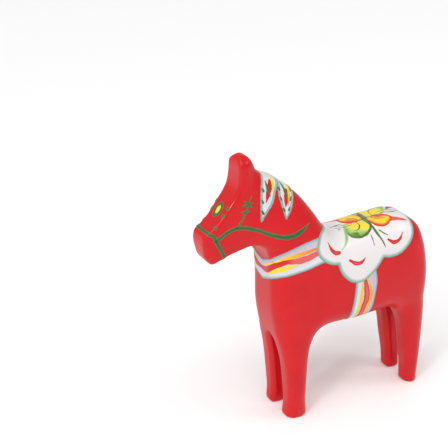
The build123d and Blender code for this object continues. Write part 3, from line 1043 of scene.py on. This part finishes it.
def add_mane():
    outlines = [np.vstack([smooth_line(front), smooth_line(rear)[::-1][1:]]) for front, rear in PLUMES]
    plumes = together(*[area(side_view, outline) for outline in outlines])
    hearts = strokes(side_view, [(points, HEART_WIDTHS) for points in PLUME_HEARTS])
    rims = strokes(side_view, [(edge, PLUME_EDGE_WIDTHS) for plume in PLUMES for edge in plume])
    yellow = strokes(side_view, MANE_YELLOW)

    def pale(skin):
        return np.full(len(skin), 0.9)

    add_paint("mane_lilac_plumes", within(plumes, outside(hearts)), LILAC, LOW_FILM, pale)
    add_paint("mane_mint_edges", within(rims, grown(plumes, 0.5)), MINT, MID_FILM, fineness=2)
    add_paint("mane_yellow_strokes", within(yellow, plumes), YELLOW, MID_FILM,
              fade(side_view, (-13, 82), (-13, 87)), fineness=2)
    add_paint("mane_green_strokes", strokes(side_view, MANE_GREEN), GREEN, HIGH_FILM, fineness=2)


add_mane()

# Bridle: a band round the nose, a strap along the cheek that runs on as the rein, and a leafy line up to
# the ear

NOSEBAND = (
    (
        (0.0, -40.8, 76.8), (3.6, -40.2, 76.2), (4.3, -39.0, 75.8), (4.7, -38.3, 74.3), (5.2, -37.5, 72.4),
        (5.5, -36.6, 70.6), (5.2, -35.5, 68.3), (3.6, -35.0, 66.6), (0.0, -35.0, 66.4),
    ),
    (1.2, 1.2, 1.3, 1.4, 1.3, 1.2, 1.2),
)
CHEEK_STRAP = (((-38.4, 73.9), (-36.7, 74.9), (-34.0, 76.5), (-31.3, 77.4)), (1.2, 1.3, 1.4))
CHEEK_LINE = (
    ((-31.0, 77.4), (-29.3, 79.7), (-27.9, 82.1), (-26.8, 84.6), (-25.6, 87.2)),
    (0.6, 0.6, 0.5, 0.6, 0.3),
)
REIN = (
    (
        (-31.3, 77.4), (-28.4, 77.0), (-24.5, 75.8), (-20.6, 73.8), (-17.0, 72.3), (-13.8, 71.6),
        (-10.8, 72.0), (-8.0, 73.2), (-5.6, 74.9),
    ),
    (1.3, 1.3, 1.3, 1.3, 1.5, 1.7, 1.8, 1.4, 0.2),
)
CHEEK_LEAVES = (
    (((-28.9, 84.5), (-27.2, 84.5), (-25.2, 85.1)), (0.4, 1.1, 0.4)),
    (((-28.3, 85.9), (-27.2, 85.1), (-26.4, 84.6)), (0.3, 0.9, 0.6)),
    (((-26.8, 84.3), (-25.6, 83.6)), (0.9, 0.3)),
    (((-29.6, 82.5), (-28.2, 82.2), (-26.4, 82.4)), (0.4, 1.1, 0.4)),
    (((-29.0, 81.2), (-28.1, 81.8), (-27.2, 82.8)), (0.3, 0.9, 0.5)),
)


def add_bridle():
    add_paint("noseband", stroke(both_sides, *NOSEBAND), GREEN, MID_FILM, fineness=2)
    add_paint("cheek_straps", strokes(side_view, (CHEEK_STRAP, CHEEK_LINE)), GREEN, MID_FILM, fineness=2)
    add_paint("reins", stroke(side_view, *REIN), GREEN, MID_FILM, fineness=2)
    add_paint("cheek_leaf_marks", strokes(side_view, CHEEK_LEAVES), GREEN, HIGH_FILM, fineness=2)


add_bridle()

# Marks on the flat of the face: a rosette in the middle, and a row of dabs along each edge

ROSETTE = (-0.2, 7.9)
ROSETTE_RADII = (2.1, 2.8)
ROSETTE_HEART_RADII = (0.9, 1.5)
DOTS = ((4.0, -33.5, 84.0), (3.9, -35.3, 81.7), (4.1, -38.2, 78.3))
DOT_RADII = (0.65, 0.8, 0.75)


def add_face_marks():
    heart = spot(face_view, ROSETTE, ROSETTE_HEART_RADII)
    ring = within(spot(face_view, ROSETTE, ROSETTE_RADII), outside(heart))
    dots = together(*[spot(both_sides, place, DOT_RADII) for place in DOTS])

    def fully_yellow(skin):
        return np.ones(len(skin))

    add_paint("forehead_rosette_ring", ring, GREEN, MID_FILM, fineness=2)
    add_paint("forehead_rosette_centre", heart, YELLOW, MID_FILM, fully_yellow, fineness=2)
    add_paint("forehead_dots", dots, GREEN, MID_FILM, fineness=2)


add_face_marks()

# Camera: the way it looks, in degrees, and its place in millimetres

CAMERA_AZIMUTH = 62.28
CAMERA_PITCH = 24.69
CAMERA_PLACE = (284.5, -183.3, 224.7)
LENS = 88.39
SENSOR_WIDTH = 36


def add_camera():
    a, e = np.radians(CAMERA_AZIMUTH), np.radians(CAMERA_PITCH)
    right = Vector((np.cos(a), np.sin(a), 0))
    back = Vector((np.sin(a) * np.cos(e), -np.cos(a) * np.cos(e), np.sin(e)))
    up = back.cross(right)
    turn = Matrix((right, up, back)).transposed().to_4x4()
    camera = bpy.data.objects.new("camera", bpy.data.cameras.new("camera"))
    camera.data.lens = LENS
    camera.data.sensor_width = SENSOR_WIDTH
    camera.data.clip_start = 0.01
    camera.matrix_world = Matrix.Translation(Vector(CAMERA_PLACE) * MM) @ turn
    bpy.context.scene.collection.objects.link(camera)
    bpy.context.scene.camera = camera


add_camera()

# Light: two soft lamps, a wide sun overhead and an even white room, in metres and watts

ROOM_STRENGTH = 0.6
SUN_STRENGTH = 1.4
SUN_ANGLE = 50
SUN_PLACE = (0.4, -0.45, 1.0)


def add_lamp(name, place, target, size, power):
    """A square lamp pointed at a place on the horse."""
    lamp = bpy.data.lights.new(name, "AREA")
    lamp.size = size
    lamp.energy = power
    light = bpy.data.objects.new(name, lamp)
    light.location = place
    light.rotation_euler = (Vector(target) - Vector(place)).to_track_quat("-Z", "Y").to_euler()
    bpy.context.scene.collection.objects.link(light)


def add_sun():
    sun = bpy.data.objects.new("sky", bpy.data.lights.new("sky", "SUN"))
    sun.data.energy = SUN_STRENGTH
    sun.data.angle = np.radians(SUN_ANGLE)
    sun.rotation_euler = Vector(SUN_PLACE).to_track_quat("Z", "Y").to_euler()
    bpy.context.scene.collection.objects.link(sun)


def add_room():
    world = bpy.data.worlds.new("studio")
    world.use_nodes = True
    background = world.node_tree.nodes["Background"]
    background.inputs["Color"].default_value = (1, 1, 1, 1)
    background.inputs["Strength"].default_value = ROOM_STRENGTH
    bpy.context.scene.world = world
    bpy.context.scene.view_settings.view_transform = "Standard"


add_lamp("front", place=(0.33, -0.55, 0.42), target=(0, -0.03, 0.08), size=0.1, power=1.2)
add_lamp("rear", place=(0.3, 0.5, 0.6), target=(0, 0, 0.06), size=0.25, power=0.8)
add_sun()
add_room()

FLOOR_REACH = 3


def add_floor():
    corners = [(x * FLOOR_REACH, y * FLOOR_REACH, 0) for x, y in ((-1, -1), (1, -1), (1, 1), (-1, 1))]
    mesh = bpy.data.meshes.new("floor")
    mesh.from_pydata(corners, [], [(0, 1, 2, 3)])
    mesh.materials.append(FLOOR_PAINT)
    floor = bpy.data.objects.new("floor", mesh)
    bpy.context.scene.collection.objects.link(floor)


add_floor()
